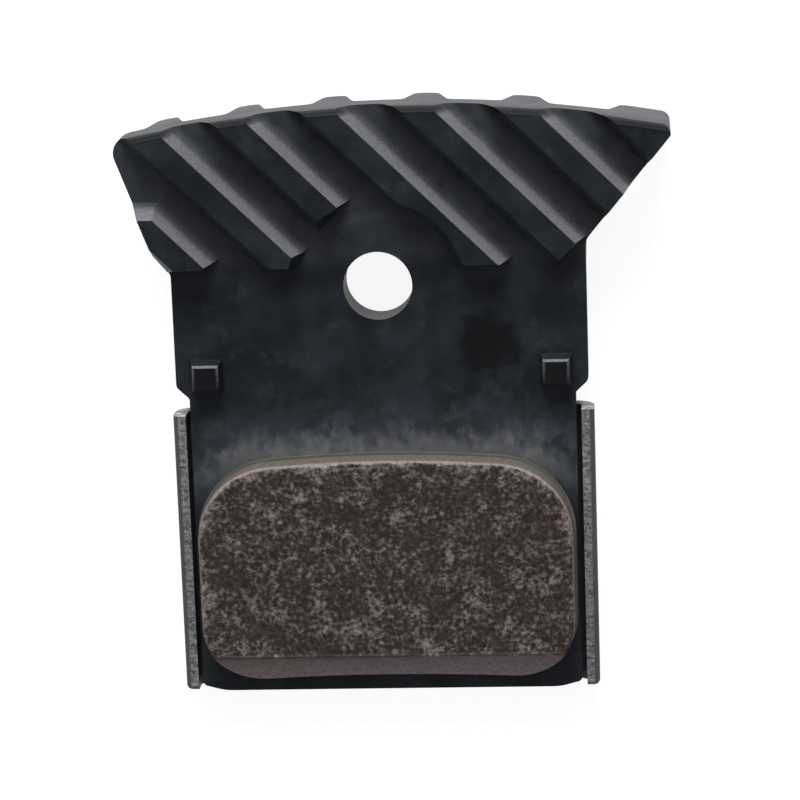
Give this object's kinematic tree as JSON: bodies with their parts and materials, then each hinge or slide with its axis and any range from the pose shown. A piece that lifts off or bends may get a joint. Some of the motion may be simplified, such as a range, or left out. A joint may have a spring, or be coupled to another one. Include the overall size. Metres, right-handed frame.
{
  "type": "bicycle disc brake pad",
  "caption": "Bicycle disc brake pad with a finned cooling head: ribbed black plate in a folded steel shoe, carrying a brown friction block that presses on the brake disc.",
  "frame": {"origin": "axis of the pad-axle hole at the piston seat, the rear face of the steel shoe", "axes": "+Z towards the brake disc, +Y up the cooling head, +X to the right seen from the disc"},
  "size_m": [0.032, 0.0351, 0.0055],
  "materials": {
    "coated_aluminium": "satin black coat over a casting",
    "shoe_steel": "dark sheet with bare sheared edges",
    "bond_film": "matt adhesive",
    "friction_compound": "matt, speckled with pale metal fibres"
  },
  "bodies": {
    "root": {"fin_plate": "coated_aluminium", "steel_shoe": "shoe_steel", "bond_layer": "bond_film", "friction_block": "friction_compound"}
  },
  "joints": []
}
